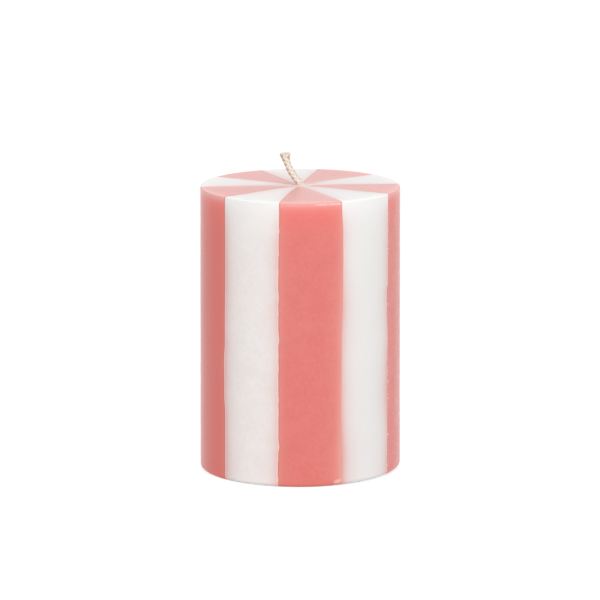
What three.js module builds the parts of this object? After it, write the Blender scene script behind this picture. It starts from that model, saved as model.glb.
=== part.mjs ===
// A striped pillar candle: full-depth wax wedges in two colours, set round one braided wick.
// Millimetres, +Z up. The origin is the centre of the base, and a coral wedge faces -Y.

import * as THREE from "three";
import { mergeVertices, toCreasedNormals } from "three/addons/utils/BufferGeometryUtils.js";

// The body, as it leaves its mould: a little narrower at the top, with softened edges.
const bodyHeight = 100;
const baseRadius = 35;
const mouldDraft = 0.2;
const topEdgeRadius = 0.6;
const baseEdgeRadius = 1.6;

// Each pair of stripes is one coral wedge and one white wedge.
const stripePairs = 5;

// The wick is straight in the body. Above it, the stub leans over at its foot and then
// straightens towards its cut end, which has splayed wide.
const wickDiameter = 2.5;
const footBendLength = 1.4;
const stubLength = 11.85;
const footLean = THREE.MathUtils.degToRad(42);
const tipLean = THREE.MathUtils.degToRad(9);
const cutLean = THREE.MathUtils.degToRad(3);
const splayLength = 3.2;
const splayWidth = 4.2;
const splayThickness = 2.7;

// The sustainer is one pressed sheet: a disc with a turned-down rim, and a neck round the wick.
const sheetThickness = 0.3;
const sustainerRadius = 10;
const rimDrop = 0.3;
const neckHeight = 6;
const neckToWick = 0.05;
const neckToWax = 0.05;

// The bore round the wick is filled with poured wax.
const boreWall = 0.8;

// The recess in the base hides the sustainer, and keeps it off the table.
const recessMargin = 1.5;
const recessDraft = 0.3;
const tableGap = 0.6;

// Facets. The wick's sides divide the facets of the round that it sits in, so that where a
// wall is shared, the corners of one meet corners of the other and nothing overlaps.
const facetsPerWedge = 12;
const wickSides = 2 * facetsPerWedge;
const edgeDivisions = 3;
const footRings = 5;
const stubRings = 16;

const wedgeCount = 2 * stripePairs;
const wedgeAngle = (2 * Math.PI) / wedgeCount;
const roundFacets = wedgeCount * facetsPerWedge;
const topRadius = baseRadius - mouldDraft;
const wickRadius = wickDiameter / 2;
const neckInnerRadius = wickRadius + neckToWick;
const neckOuterRadius = neckInnerRadius + sheetThickness;
const neckHoleRadius = neckOuterRadius + neckToWax;
const boreRadius = neckHoleRadius + boreWall;
const recessRadius = sustainerRadius + recessMargin;
const recessDepth = tableGap + rimDrop + sheetThickness;
const discUnderside = recessDepth - sheetThickness;
const neckTop = recessDepth + neckHeight;

const coralWax = { color: "#e8837c", roughness: 0.5, metalness: 0 };
const whiteWax = { color: "#f3efec", roughness: 0.5, metalness: 0 };
const boreWax = { color: "#efd6ce", roughness: 0.5, metalness: 0 };
const waxedCotton = { color: "#e6d2c3", roughness: 0.8, metalness: 0 };
const tinplate = { color: "#c9cccf", roughness: 0.35, metalness: 1 };

// Smooths the shading over the fine facets and leaves real edges sharp.
const creaseAngle = Math.PI / 6;

function namedMesh(name, geometry, finish) {
  geometry.deleteAttribute("normal");
  geometry.deleteAttribute("uv");
  const closed = mergeVertices(geometry);
  const mesh = new THREE.Mesh(
    toCreasedNormals(closed, creaseAngle),
    new THREE.MeshStandardMaterial(finish),
  );
  mesh.name = name;
  return mesh;
}

// A ring of the closed outline, given as radius and height and running anticlockwise, with
// its axis on Z. Angles start at -Y and run towards +X.
function turned(outline, facets, startAngle, angle) {
  const points = [...outline, outline[0]];
  const geometry = new THREE.LatheGeometry(points, facets, startAngle, angle);
  return geometry.rotateX(Math.PI / 2);
}

function fullRing(outline) {
  return turned(outline, roundFacets, 0, 2 * Math.PI);
}

// Part of a ring is still open where it starts and where it ends. Both cut faces are the
// outline itself, cut into triangles between the ring's own corners.
function closedSlice(outline, facets, startAngle, angle) {
  const geometry = turned(outline, facets, startAngle, angle);
  const columnLength = outline.length + 1;
  const lastColumn = facets * columnLength;
  const index = [...geometry.index.array];
  for (const [a, b, c] of THREE.ShapeUtils.triangulateShape(outline, [])) {
    index.push(a, b, c);
    index.push(lastColumn + a, lastColumn + c, lastColumn + b);
  }
  geometry.setIndex(index);
  return geometry;
}

function wedgeOutline() {
  const path = new THREE.Path();
  path.moveTo(boreRadius, recessDepth);
  path.lineTo(recessRadius, recessDepth);
  path.lineTo(recessRadius + recessDraft, 0);
  const baseFlat = baseRadius - baseEdgeRadius;
  path.absarc(baseFlat, baseEdgeRadius, baseEdgeRadius, -Math.PI / 2, 0);
  const topFlat = topRadius - topEdgeRadius;
  path.absarc(topFlat, bodyHeight - topEdgeRadius, topEdgeRadius, 0, Math.PI / 2);
  path.lineTo(boreRadius, bodyHeight);
  return path.getPoints(edgeDivisions);
}

// The first wedge is centred on -Y, and the rest follow anticlockwise seen from above.
function seamAngle(wedge) {
  return (wedge - 0.5) * wedgeAngle;
}

function waxWedges() {
  const outline = wedgeOutline();
  const wedges = [];
  for (let pair = 0; pair < stripePairs; pair += 1) {
    for (const [offset, colour, finish] of [[0, "coral", coralWax], [1, "white", whiteWax]]) {
      const wedge = 2 * pair + offset;
      const start = seamAngle(wedge);
      const slice = closedSlice(outline, facetsPerWedge, start, seamAngle(wedge + 1) - start);
      wedges.push(namedMesh(`${colour}_wedge_${pair + 1}`, slice, finish));
    }
  }
  return wedges;
}

// A sleeve from the recess to the top. It clears the neck below and grips the wick above.
function boreFill() {
  const outline = [
    new THREE.Vector2(neckHoleRadius, recessDepth),
    new THREE.Vector2(boreRadius, recessDepth),
    new THREE.Vector2(boreRadius, bodyHeight),
    new THREE.Vector2(wickRadius, bodyHeight),
    new THREE.Vector2(wickRadius, neckTop + neckToWax),
    new THREE.Vector2(neckHoleRadius, neckTop + neckToWax),
  ];
  return namedMesh("bore_wax", fullRing(outline), boreWax);
}

function sustainer() {
  const outline = [
    new THREE.Vector2(neckInnerRadius, discUnderside),
    new THREE.Vector2(sustainerRadius - sheetThickness, discUnderside),
    new THREE.Vector2(sustainerRadius - sheetThickness, discUnderside - rimDrop),
    new THREE.Vector2(sustainerRadius, discUnderside - rimDrop),
    new THREE.Vector2(sustainerRadius, recessDepth),
    new THREE.Vector2(neckOuterRadius, recessDepth),
    new THREE.Vector2(neckOuterRadius, neckTop),
    new THREE.Vector2(neckInnerRadius, neckTop),
  ];
  return namedMesh("wick_sustainer", fullRing(outline), tinplate);
}

// The direction that leans this far from upright, towards -X.
function leaning(lean) {
  return new THREE.Vector3(-Math.sin(lean), 0, Math.cos(lean));
}

// The wick's centre line, in the XZ plane, as a straight run, the bend at the foot and the stub.
function wickRuns() {
  const up = leaning(0);
  const bottom = up.clone().multiplyScalar(discUnderside);
  const foot = up.clone().multiplyScalar(bodyHeight);
  const footCorner = foot.clone().addScaledVector(up, footBendLength / 2);
  const bendEnd = footCorner.clone().addScaledVector(leaning(footLean), footBendLength / 2);
  const stubMiddle = bendEnd.clone().addScaledVector(leaning(footLean), stubLength / 2);
  const tip = stubMiddle.clone().addScaledVector(leaning(tipLean), stubLength / 2);
  return [
    { curve: new THREE.LineCurve3(bottom, foot), rings: 1 },
    { curve: new THREE.QuadraticBezierCurve3(foot, footCorner, bendEnd), rings: footRings },
    { curve: new THREE.QuadraticBezierCurve3(bendEnd, stubMiddle, tip), rings: stubRings },
  ];
}

// Where each ring of the wick sits, how far it has splayed, and which way it faces: along the
// wick, but level with the cut at the tip.
function wickStations() {
  const runs = wickRuns();
  const stations = [{ centre: runs[0].curve.getPoint(0), facing: leaning(0), splay: 0 }];
  for (const { curve, rings } of runs) {
    const isStub = curve === runs.at(-1).curve;
    const length = curve.getLength();
    for (let ring = 1; ring <= rings; ring += 1) {
      const share = ring / rings;
      const toTip = (1 - share) * length;
      const opening = isStub ? Math.max(0, 1 - toTip / splayLength) : 0;
      const splay = THREE.MathUtils.smoothstep(opening, 0, 1);
      const facing = curve.getTangentAt(share).lerp(leaning(cutLean), splay).normalize();
      stations.push({ centre: curve.getPointAt(share), facing, splay });
    }
  }
  return stations;
}

// A capped cylinder whose rings are carried to the stations.
function wick() {
  const stations = wickStations();
  const gaps = stations.length - 1;
  const geometry = new THREE.CylinderGeometry(1, 1, 1, wickSides, gaps);
  const position = geometry.getAttribute("position");
  const corner = new THREE.Vector3();
  for (let i = 0; i < position.count; i += 1) {
    corner.fromBufferAttribute(position, i);
    const { centre, facing, splay } = stations[Math.round((corner.y + 0.5) * gaps)];
    const across = THREE.MathUtils.lerp(wickRadius, splayWidth / 2, splay) * corner.x;
    const deep = THREE.MathUtils.lerp(wickRadius, splayThickness / 2, splay) * corner.z;
    corner.set(across * facing.z, -deep, -across * facing.x).add(centre);
    position.setXYZ(i, corner.x, corner.y, corner.z);
  }
  return namedMesh("wick", geometry, waxedCotton);
}

const candle = new THREE.Group();
candle.name = "striped_pillar_candle";
candle.add(...waxWedges(), boreFill(), wick(), sustainer());

export default candle;
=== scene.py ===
"""A striped pillar candle: ten wedges of coral and white wax, a braided wick and its sustainer.

Everything is in metres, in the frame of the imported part: +Z up, the origin at the centre of the
base, and the middle of the front coral wedge on -Y. Angles round the candle start at -Y and run
towards +X.
"""

import logging
import math
import random
from collections.abc import Callable, Iterator
from dataclasses import dataclass, field
from enum import Enum
from functools import cache
from typing import Any, ClassVar

import bmesh
import bpy
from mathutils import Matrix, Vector, noise


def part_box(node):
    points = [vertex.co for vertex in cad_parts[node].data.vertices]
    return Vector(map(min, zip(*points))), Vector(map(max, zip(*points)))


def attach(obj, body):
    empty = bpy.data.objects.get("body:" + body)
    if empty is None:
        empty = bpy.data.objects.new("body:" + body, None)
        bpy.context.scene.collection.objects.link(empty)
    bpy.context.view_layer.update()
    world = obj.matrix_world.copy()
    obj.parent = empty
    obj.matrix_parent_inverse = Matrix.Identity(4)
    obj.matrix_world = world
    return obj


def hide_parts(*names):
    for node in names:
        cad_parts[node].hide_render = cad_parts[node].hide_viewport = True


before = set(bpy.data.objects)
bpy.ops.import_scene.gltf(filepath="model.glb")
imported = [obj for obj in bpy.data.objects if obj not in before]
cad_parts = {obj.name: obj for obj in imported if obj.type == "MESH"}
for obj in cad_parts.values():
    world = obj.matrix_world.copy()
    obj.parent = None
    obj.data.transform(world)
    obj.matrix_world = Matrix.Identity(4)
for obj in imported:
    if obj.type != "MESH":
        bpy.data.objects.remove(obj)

LOG = logging.getLogger("candle")
MM = 0.001
BODY = "root"
CREASE = math.radians(40)
WELD = 0.001 * MM

Colour = tuple[float, float, float, float]


def linear(hex_colour: str) -> Colour:
    """Turns an sRGB hex colour into linear light.

    Args:
        hex_colour: Such as "#e67a74".

    Returns:
        Red, green, blue and an alpha of 1.
    """
    channels = [int(hex_colour[i : i + 2], 16) / 255 for i in (1, 3, 5)]
    red, green, blue = (c / 12.92 if c <= 0.04045 else ((c + 0.055) / 1.055) ** 2.4 for c in channels)
    return (red, green, blue, 1.0)


def smooth_step(start: float, end: float, value: float) -> float:
    """Eases from 0, where value is at start, to 1, where it is at end. Start may be the larger."""
    share = min(1.0, max(0.0, (value - start) / (end - start)))
    return share * share * (3.0 - 2.0 * share)


def blend_number(start: float, end: float, share: float) -> float:
    """The number this share of the way from start to end."""
    return start + (end - start) * share


def crowd_ends(share: float, strength: float) -> float:
    """Moves an evenly spaced share of 0 to 1 towards the nearer end, by a strength of 0 to 1."""
    return share - strength * math.sin(2 * math.pi * share) / (2 * math.pi)


def add_node(
    tree: bpy.types.NodeTree,
    kind: str,
    inputs: dict[str | int, Any] | None = None,
    **settings: Any,
) -> bpy.types.Node:
    """Adds a shader node with its settings, values and links.

    Args:
        tree: The node tree to add to.
        kind: The node's type, such as "ShaderNodeMix".
        inputs: A value, or the output socket to link, for each input by name or place.
        **settings: The node's own properties, such as an operation.

    Returns:
        The new node.
    """
    made = tree.nodes.new(kind)
    for name, value in settings.items():
        setattr(made, name, value)
    for place, value in (inputs or {}).items():
        socket = made.inputs[place]
        if isinstance(value, bpy.types.NodeSocket):
            tree.links.new(value, socket)
        else:
            socket.default_value = value
    return made


def new_material(name: str) -> tuple[bpy.types.Material, bpy.types.NodeTree, bpy.types.Node]:
    """Makes an empty material.

    Args:
        name: The material's name.

    Returns:
        The material, its node tree and its output node.
    """
    material = bpy.data.materials.new(name)
    material.use_nodes = True
    tree = material.node_tree
    tree.nodes.clear()
    return material, tree, add_node(tree, "ShaderNodeOutputMaterial")


def finished_object(name: str, bm: bmesh.types.BMesh, material: bpy.types.Material) -> bpy.types.Object:
    """Turns a bmesh into a smooth-shaded object at the origin.

    Args:
        name: The piece's name.
        bm: Its shape, in place. It is freed.
        material: Its finish.

    Returns:
        The new object, linked to the scene.
    """
    mesh = bpy.data.meshes.new(name)
    bm.to_mesh(mesh)
    bm.free()
    mesh.materials.append(material)
    mesh.shade_smooth()
    mesh.set_sharp_from_angle(angle=CREASE)
    piece = bpy.data.objects.new(name, mesh)
    bpy.context.scene.collection.objects.link(piece)
    return piece


def hand_over(piece: bpy.types.Object, node: str) -> bpy.types.Object:
    """Lets a finished piece stand for a node of the frame.

    Args:
        piece: The piece.
        node: The node whose place it takes.

    Returns:
        The piece.
    """
    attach(piece, BODY)
    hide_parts(node)
    return piece


def spin_round(bm: bmesh.types.BMesh, angle: float, steps: int, merge: bool) -> None:
    """Spins all that a bmesh holds about +Z.

    Args:
        bm: The mesh, which holds only the outline to spin.
        angle: How far to turn it.
        steps: The number of faces along the turn.
        merge: Whether the end of a full turn is joined to its start.
    """
    bmesh.ops.spin(
        bm,
        geom=[*bm.verts, *bm.edges, *bm.faces],
        cent=(0.0, 0.0, 0.0),
        axis=(0.0, 0.0, 1.0),
        dvec=(0.0, 0.0, 0.0),
        angle=angle,
        steps=steps,
        use_merge=merge,
        use_duplicate=False,
    )


class Wax(Enum):
    """The two colours of wax, which take turns round the candle."""

    CORAL = "coral"
    WHITE = "white"


@dataclass(frozen=True)
class JoinLook:
    """How a seam between two pours looks: lengths in metres, and amounts from 0, none, to 1.

    The edge drifts to both sides. Lobes are where white wax has flowed over the edge of the coral.
    """

    drift: float
    lobes: float
    # How strong the painted bleed of light from the other wax is, on the coral side and on the white.
    into_coral: float
    into_white: float
    painted_groove_amount: float
    specks: float


class Join(Enum):
    """The ways in which one pour of wax has met the next."""

    CLEAN = JoinLook(
        drift=0.05 * MM, lobes=0.0, into_coral=0.15, into_white=0.62, painted_groove_amount=0.70, specks=0.0
    )
    RAGGED = JoinLook(
        drift=0.04 * MM, lobes=0.55 * MM, into_coral=0.26, into_white=0.44, painted_groove_amount=0.50, specks=0.1
    )
    SOFT = JoinLook(
        drift=0.05 * MM, lobes=0.0, into_coral=0.84, into_white=0.50, painted_groove_amount=0.10, specks=0.0
    )
    SPECKLED = JoinLook(
        drift=0.05 * MM, lobes=0.25 * MM, into_coral=0.36, into_white=0.56, painted_groove_amount=0.35, specks=0.6
    )


@dataclass(frozen=True)
class Seam:
    """The join at the start of the wedge with the same number.

    No seam is quite where it was meant to be. Inner is how far it has strayed, in the direction of
    rising angles, beside the wick. Course is how far it has strayed on the outside: pairs of a
    height and a distance, from the base up. Lower bleed is how much stronger the painted bleed of
    light beside it is at the base than at the top, as a share.
    """

    number: int
    join: Join
    inner: float
    course: tuple[tuple[float, float], ...]
    lower_bleed: float = 0.0

    # The radii between which the seam goes over from its inner to its outer course, the sizes of
    # the waves that it wanders in, how high a wave of wax stands before it is a lobe, the height
    # of a patch of stronger tint, and the candle's height.
    INNER_END: ClassVar[float] = 10 * MM
    OUTER_START: ClassVar[float] = 34 * MM
    SLOW_ACROSS: ClassVar[float] = 6.0 * MM
    SLOW_UP: ClassVar[float] = 9.0 * MM
    FINE_WAVE: ClassVar[float] = 2.6 * MM
    LOBE_START: ClassVar[float] = 0.12
    PATCH_HEIGHT: ClassVar[float] = 18.0 * MM
    TALL: ClassVar[float] = 100.0 * MM

    def outer(self, height: float) -> float:
        """Follows the seam's course up the outside.

        Args:
            height: The height above the base.

        Returns:
            How far the seam has strayed there.
        """
        for (low, before), (high, after) in zip(self.course, self.course[1:]):
            if low <= height < high:
                return blend_number(before, after, smooth_step(low, high, height))
        return self.course[0][1] if height < self.course[0][0] else self.course[-1][1]

    @cache
    def offset(self, radius: float, height: float) -> float:
        """Works out how far the seam strays sideways from its true plane.

        Args:
            radius: The distance from the candle's axis.
            height: The height above the base.

        Returns:
            The distance, in the direction of rising angles.
        """
        look = self.join.value
        outward = smooth_step(self.INNER_END, self.OUTER_START, radius)
        strayed = blend_number(self.inner, self.outer(height), outward)
        seed = 17.3 * self.number
        slow = noise.noise(Vector((seed, radius / self.SLOW_ACROSS, height / self.SLOW_UP)))
        fine = noise.noise(Vector((seed + 9.7, radius / self.FINE_WAVE, height / self.FINE_WAVE)))
        towards_coral = 1.0 if self.number % 2 == 0 else -1.0
        lobe = towards_coral * look.lobes * max(0.0, fine - self.LOBE_START)
        return strayed + look.drift * (slow + 0.4 * fine) + lobe

    @cache
    def patchiness(self, height: float) -> float:
        """How much the painted bleed of light beside the seam varies up the candle, around 1."""
        patches = 0.5 * noise.noise(Vector((31.7 * self.number, 2.0, height / self.PATCH_HEIGHT)))
        return 1.0 + patches + self.lower_bleed * (0.5 - height / self.TALL)


@dataclass(frozen=True)
class Scuff:
    """A scrape or chip, which leaves the wax pale and a little dented. At the top rim, the pale colour is
    also a painted highlight where the chipped edge catches light.

    The angle is in degrees and the lengths are in metres. Across is along the surface, and climb
    is how much higher its far end lies than its near end.
    """

    angle: float
    height: float
    across: float
    tall: float
    dent: float
    climb: float = 0.0

    def strength(self, angle: float, radius: float, height: float) -> float:
        """Works out how scuffed the surface is.

        Args:
            angle: The angle round the candle.
            radius: The distance from its axis.
            height: The height above the base.

        Returns:
            0 where the surface is whole, and 1 where it is fully scraped.
        """
        along = (angle - math.radians(self.angle)) * radius / self.across
        above = (height - self.height - self.climb * along) / self.tall
        return smooth_step(0.5, 0.2, abs(along)) * smooth_step(0.5, 0.1, abs(above))


@dataclass
class WaxBody:
    """The sizes that the wedges share, taken from the frame where the frame has them."""

    wedge_count: int = 10
    mould_draft: float = 0.2 * MM
    top_edge: float = 0.6 * MM
    base_edge: float = 1.6 * MM
    recess_draft: float = 0.3 * MM
    recess_margin: float = 1.5 * MM
    seam_gap: float = 0.02 * MM
    groove_depth: float = 0.05 * MM
    groove_width: float = 0.22 * MM
    unevenness: float = 0.04 * MM
    skin: float = 0.5 * MM
    wear: float = 0.7 * MM
    wear_angle: float = math.radians(70)
    wear_spread: float = math.radians(80)
    wear_height: float = 8 * MM
    wear_inner: float = 0.78
    top_falloff: float = 1.5
    wave_size: float = 23.0 * MM
    ripple_size: float = 7.0 * MM
    base_radius: float = field(init=False)
    height: float = field(init=False)
    bore_radius: float = field(init=False)
    recess_depth: float = field(init=False)
    recess_radius: float = field(init=False)

    def __post_init__(self) -> None:
        """Reads the body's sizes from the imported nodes."""
        low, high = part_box("bore_wax")
        self.bore_radius = high.x
        self.recess_depth = low.z
        self.height = high.z
        self.base_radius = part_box("coral_wedge_2")[1].x
        self.recess_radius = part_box("wick_sustainer")[1].x + self.recess_margin

    @property
    def top_radius(self) -> float:
        """The body's radius under the softened top edge."""
        return self.base_radius - self.mould_draft

    def outer_wall(self, share: float) -> tuple[float, float]:
        """A point on the outer wall.

        Args:
            share: 0 where the wall leaves the base, 1 where it meets the flat top.

        Returns:
            The point's radius and height.
        """
        base_arc = self.base_edge * math.pi / 2
        top_arc = self.top_edge * math.pi / 2
        straight = self.height - self.base_edge - self.top_edge
        travel = share * (base_arc + straight + top_arc)
        if travel < base_arc:
            turn = travel / self.base_edge
            radius = self.base_radius - self.base_edge * (1 - math.sin(turn))
            return radius, self.base_edge * (1 - math.cos(turn))
        if travel > base_arc + straight:
            turn = (travel - base_arc - straight) / self.top_edge
            radius = self.top_radius - self.top_edge * (1 - math.cos(turn))
            return radius, self.height - self.top_edge * (1 - math.sin(turn))
        climbed = travel - base_arc
        return self.base_radius - self.mould_draft * climbed / straight, self.base_edge + climbed

    def nearest_skin(self, radius: float, height: float) -> tuple[float, float, float]:
        """Finds the outside that lies nearest to a point.

        Args:
            radius: The point's distance from the candle's axis.
            height: Its height above the base.

        Returns:
            The point's depth under the outside, and the radial and upward parts of the direction
            that the outside faces there.
        """
        if height > self.height / 2:
            edge, side = self.top_edge, 1.0
            beyond = height - (self.height - edge)
            over = radius - (self.top_radius - edge)
        else:
            edge, side = self.base_edge, -1.0
            beyond = edge - height
            over = radius - (self.base_radius - edge)
        if over > 0 and beyond > 0:
            reach = math.hypot(over, beyond)
            return edge - reach, over / reach, side * beyond / reach
        if over > beyond:
            return edge - over, 1.0, 0.0
        return edge - beyond, 0.0, side

    def worn(self, angle: float, radius: float, height: float) -> float:
        """Works out how far the edge of the base has been worn upwards.

        Args:
            angle: The angle round the candle.
            radius: The distance from its axis.
            height: The height above the base.

        Returns:
            The distance, which is 0 away from the worn part.
        """
        away = math.remainder(angle - self.wear_angle, 2 * math.pi) / self.wear_spread
        if abs(away) >= 1:
            return 0.0
        outward = smooth_step(self.wear_inner, 1.0, radius / self.base_radius)
        near_edge = outward * smooth_step(self.wear_height, 0.0, height)
        return self.wear * math.cos(away * math.pi / 2) ** 2 * near_edge

    def below_rim(self, radius: float, height: float) -> float:
        """How far a point is from the lit rim. The way in across the top counts for more."""
        return max(self.height - height, 0.0) + self.top_falloff * max(self.top_radius - radius, 0.0)

    def lift(self, angle: float, height: float, seam_distance: float) -> float:
        """Works out how far the true surface stands out from the plain form.

        Args:
            angle: The angle round the candle.
            height: The height above the base.
            seam_distance: The distance from the nearest seam.

        Returns:
            The distance outwards, less than 0 in a hollow.
        """
        around = Vector((math.cos(angle), math.sin(angle), 0.0)) * self.base_radius
        place = around + Vector((0.0, 0.0, height))
        waves = noise.noise(place / self.wave_size) + 0.4 * noise.noise(place / self.ripple_size)
        groove = math.exp(-((seam_distance / self.groove_width) ** 2))
        return self.unevenness * waves - self.groove_depth * groove


@dataclass(frozen=True)
class CastWax:
    """Paraffin wax, dyed or left white, cast in a polished mould and drawn out of it.

    The mould gives it a satin skin with fine marks up and down. Under the skin it is milky, and
    faintly cloudy where it set at different rates. Its colour also holds painted light: a painted
    glow below its brightly lit top, a painted bleed of light from the wax of the other colour
    beside it, a paler top that is partly bloom and partly a painted reflection, and along a seam a
    painted highlight on the white and painted shade on the coral. Near a seam it scatters less
    light, so that the edge stays crisp. Reaches are in metres.

    A mould's own marks are some 0.1 mm wide. They are drawn 0.7 mm wide, because finer ones don't
    show. The roughness stays under 0.27, above which the denoised render has bright specks.
    """

    name: str
    body_colour: str
    cloud_colour: str
    strong_colour: str
    # Painted light: the colours that the wax is painted towards below its brightly lit rim.
    painted_deep_glow: str
    painted_rim_glow: str
    # Painted light: the colours that the wax is painted towards beside a seam, for light scattered across
    # from the other wax.
    painted_wide_bleed: str
    painted_close_bleed: str
    # The paler colour of the top: partly a bloom on the wax, partly a painted reflection.
    bloom_and_sheen_colour: str
    core_colour: str
    # Painted along each seam's groove: a painted highlight on white wax, painted shade on coral.
    painted_groove_colour: str
    pale_colour: str
    deep_reach: float
    rim_reach: float
    wide_reach: float
    close_reach: float
    # How much the top is painted paler: partly a bloom on the wax, partly a painted reflection.
    bloom: float = 0.29
    rim_width: float = 1.0 * MM
    core_radius: float = 5.5 * MM
    edge_width: float = 0.55 * MM
    cloud_size: float = 6.0 * MM
    fine_cloud_size: float = 1.3 * MM
    drag_width: float = 0.7 * MM
    drag_length: float = 16.0 * MM
    speck_spacing: float = 7.0 * MM
    speck_radius: float = 0.16 * MM
    torn_size: float = 0.9 * MM
    crumbs_from: float = 0.2 * MM
    crumbs_to: float = 1.6 * MM
    wave_size: float = 3.0 * MM
    wave_depth: float = 0.02 * MM
    grain_size: float = 1.0 * MM
    smoothest: float = 0.245
    roughest: float = 0.268
    scatter: tuple[float, float, float] = (1.0, 0.45, 0.4)
    scatter_length: float = 1.6 * MM
    scatter_weight: float = 0.5
    scatter_from: float = 0.3 * MM
    scatter_full: float = 3.0 * MM
    refraction: float = 1.44
    gloss: float = 0.3

    def dye(self, tree: bpy.types.NodeTree, place: bpy.types.NodeSocket) -> bpy.types.NodeSocket:
        """Builds the colour.

        Args:
            tree: The material's node tree.
            place: The place on the candle.

        Returns:
            The colour's socket.
        """
        cloud = add_node(
            tree,
            "ShaderNodeTexNoise",
            {"Vector": place, "Scale": 1 / self.cloud_size, "Detail": 2.0},
        )
        fine_cloud = add_node(
            tree,
            "ShaderNodeTexNoise",
            {"Vector": place, "Scale": 1 / self.fine_cloud_size, "Detail": 3.0, "Roughness": 0.6},
        )
        clouds = add_node(
            tree,
            "ShaderNodeMix",
            {"Factor": 0.6, "A": cloud.outputs["Fac"], "B": fine_cloud.outputs["Fac"]},
            data_type="FLOAT",
        )
        share = add_node(
            tree,
            "ShaderNodeMapRange",
            {"Value": clouds.outputs["Result"], "From Min": 0.38, "From Max": 0.62},
        )
        colour = add_node(
            tree,
            "ShaderNodeMix",
            {
                "Factor": share.outputs["Result"],
                "A": linear(self.body_colour),
                "B": linear(self.cloud_colour),
            },
            data_type="RGBA",
        ).outputs["Result"]
        # Besides the wax's own dye strength and core colour, these mix in painted light: the painted bleed
        # from the other wax beside a seam, the painted glow below the lit rim, and a paler top that is
        # partly a painted reflection.
        for mark, tint in (
            ("dye_strength", self.strong_colour),
            ("painted_bleed_wide", self.painted_wide_bleed),
            ("painted_bleed_close", self.painted_close_bleed),
            ("painted_glow_deep", self.painted_deep_glow),
            ("painted_glow_rim", self.painted_rim_glow),
            ("bloom", self.bloom_and_sheen_colour),
            ("core", self.core_colour),
        ):
            share = add_node(tree, "ShaderNodeAttribute", attribute_name=mark)
            colour = add_node(
                tree,
                "ShaderNodeMix",
                {"Factor": share.outputs["Fac"], "A": colour, "B": linear(tint)},
                data_type="RGBA",
            ).outputs["Result"]
        # A painted highlight on white wax and painted shade on coral along each seam's groove, then pale
        # crumbs, specks and scrapes.
        for share, tint in (
            (self.painted_groove_share(tree), self.painted_groove_colour),
            (self.pale_share(tree, place), self.pale_colour),
        ):
            colour = add_node(
                tree,
                "ShaderNodeMix",
                {"Factor": share, "A": colour, "B": linear(tint)},
                data_type="RGBA",
            ).outputs["Result"]
        return colour

    def painted_groove_share(self, tree: bpy.types.NodeTree) -> bpy.types.NodeSocket:
        """Finds the thin painted line along a seam's groove: a painted highlight on white wax and painted
        shade on coral.

        Args:
            tree: The material's node tree.

        Returns:
            The socket that gives 1 on the line and 0 away from it.
        """
        distance = add_node(tree, "ShaderNodeAttribute", attribute_name="seam_distance")
        near = add_node(
            tree,
            "ShaderNodeMapRange",
            {
                "Value": distance.outputs["Fac"],
                "From Min": 0.3 * self.edge_width / MM,
                "From Max": self.edge_width / MM,
                "To Min": 1.0,
                "To Max": 0.0,
            },
        )
        amount = add_node(tree, "ShaderNodeAttribute", attribute_name="painted_groove_line")
        return add_node(
            tree,
            "ShaderNodeMath",
            {0: near.outputs["Result"], 1: amount.outputs["Fac"]},
            operation="MULTIPLY",
        ).outputs[0]

    def pale_share(self, tree: bpy.types.NodeTree, place: bpy.types.NodeSocket) -> bpy.types.NodeSocket:
        """Finds where the wax is pale: at crumbs by a seam, at specks and where it was scraped, which at
        the top rim is also a painted highlight.

        Args:
            tree: The material's node tree.
            place: The place on the candle.

        Returns:
            The socket that gives 1 where the wax is palest.
        """
        torn = add_node(
            tree,
            "ShaderNodeTexNoise",
            {"Vector": place, "Scale": 1 / self.torn_size, "Detail": 3.0},
        )
        distance = add_node(tree, "ShaderNodeAttribute", attribute_name="seam_distance")
        crumbs_near = add_node(
            tree,
            "ShaderNodeMapRange",
            {
                "Value": distance.outputs["Fac"],
                "From Min": self.crumbs_from / MM,
                "From Max": self.crumbs_to / MM,
                "To Min": 0.95,
                "To Max": 0.0,
            },
        )
        crumbs_here = add_node(
            tree,
            "ShaderNodeMapRange",
            {"Value": torn.outputs["Fac"], "From Min": 0.60, "From Max": 0.66},
        )
        crumbs = add_node(
            tree,
            "ShaderNodeMath",
            {0: crumbs_near.outputs["Result"], 1: crumbs_here.outputs["Result"]},
            operation="MULTIPLY",
        )
        crumb_amount = add_node(tree, "ShaderNodeAttribute", attribute_name="seam_specks")
        crumbs = add_node(
            tree,
            "ShaderNodeMath",
            {0: crumbs.outputs[0], 1: crumb_amount.outputs["Fac"]},
            operation="MULTIPLY",
        )
        speck = add_node(
            tree,
            "ShaderNodeTexVoronoi",
            {"Vector": place, "Scale": 1 / self.speck_spacing},
        )
        size = self.speck_radius / self.speck_spacing
        specks = add_node(
            tree,
            "ShaderNodeMapRange",
            {
                "Value": speck.outputs["Distance"],
                "From Min": 0.4 * size,
                "From Max": size,
                "To Min": 0.6,
                "To Max": 0.0,
            },
        )
        scuffed_and_glint = add_node(tree, "ShaderNodeAttribute", attribute_name="scuffed_and_glint")
        patchy = add_node(
            tree,
            "ShaderNodeMapRange",
            {"Value": torn.outputs["Fac"], "From Min": 0.30, "From Max": 0.55, "To Min": 0.6},
        )
        scraped = add_node(
            tree,
            "ShaderNodeMath",
            {0: scuffed_and_glint.outputs["Fac"], 1: patchy.outputs["Result"]},
            operation="MULTIPLY",
        )
        share = crumbs.outputs[0]
        for other in (specks.outputs["Result"], scraped.outputs[0]):
            share = add_node(tree, "ShaderNodeMath", {0: share, 1: other}, operation="MAXIMUM").outputs[0]
        return share

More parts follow.
